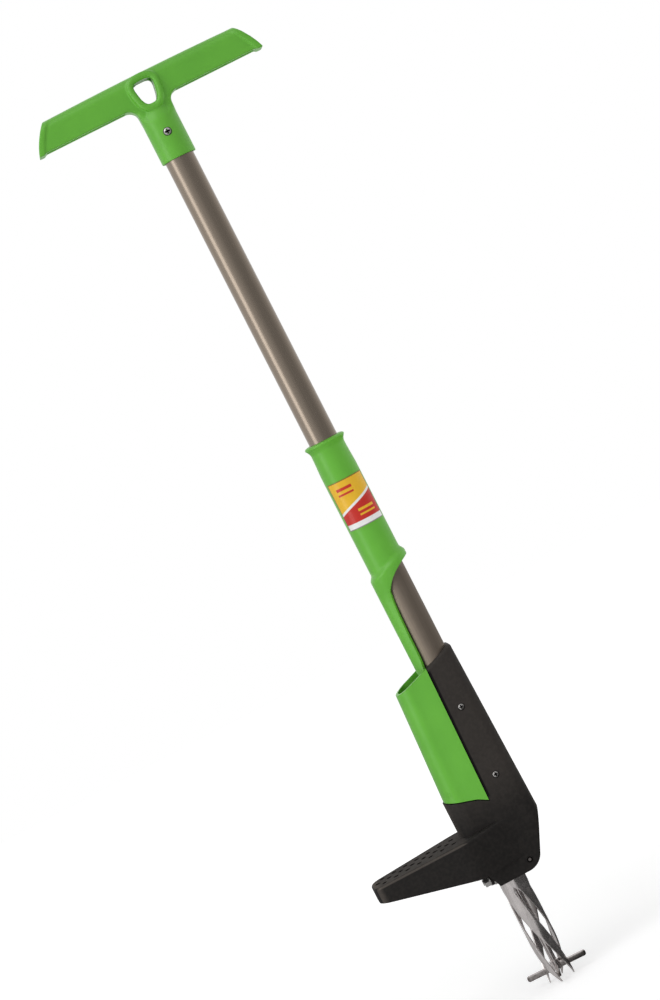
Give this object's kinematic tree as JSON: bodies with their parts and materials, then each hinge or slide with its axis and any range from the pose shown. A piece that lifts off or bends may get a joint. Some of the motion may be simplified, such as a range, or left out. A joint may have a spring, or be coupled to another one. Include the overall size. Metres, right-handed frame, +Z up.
{
  "type": "weed puller",
  "caption": "Stand-up weed puller: T-handle on a tube, foot with step pedal, slit tube of twisted tines, and a sliding grip that drives a star-headed ejector rod.",
  "frame": {"origin": "bearing edge at the top of the hang hole, on the tube's axis", "axes": "+Z up along the tube, -X towards the pedal, +Y across the foot to its right side"},
  "size_m": [0.2795, 0.0648, 0.982],
  "materials": {
    "green_plastic": "satin moulded green",
    "tube_metal": "champagne anodised",
    "black_plastic": "fine grain",
    "tine_steel": "bright",
    "fastener_steel": "zinc plated",
    "label_film": "printed film",
    "bush_plastic": "plain"
  },
  "bodies": {
    "frame": {"t_handle": "green_plastic", "handle_screw": "fastener_steel", "shaft_tube": "tube_metal", "foot_shell_left": "black_plastic", "foot_shell_right": "black_plastic", "shell_screws": "fastener_steel", "shell_nuts": "fastener_steel", "pedal_screws": "fastener_steel", "rear_pin": "fastener_steel", "base_plate": "fastener_steel", "front_stud": "fastener_steel", "front_washer": "fastener_steel", "front_nut": "fastener_steel", "tine_tube": "tine_steel", "rod_bush": "bush_plastic"},
    "grip": {"slider_grip": "green_plastic", "label": "label_film"},
    "ejector": {"ejector_rod": "tine_steel", "rod_washers": "fastener_steel", "rod_lock_nut": "fastener_steel", "star_bar_long": "tine_steel", "star_bar_cross": "tine_steel"}
  },
  "joints": [
    {"name": "grip_slide", "type": "slide", "parent": "frame", "child": "grip", "axis": [0, 0, 1], "range_m": [0, 0.08]},
    {"name": "ejector_turn", "type": "hinge", "parent": "grip", "child": "ejector", "pos_m": [-0.0312, 0, -0.961], "axis": [0, 0, 1], "range_deg": [-82, 0]}
  ],
  "couplings": [
    {"joint": "ejector_turn", "follows": "grip_slide", "rad_per_m": -17.889}
  ]
}
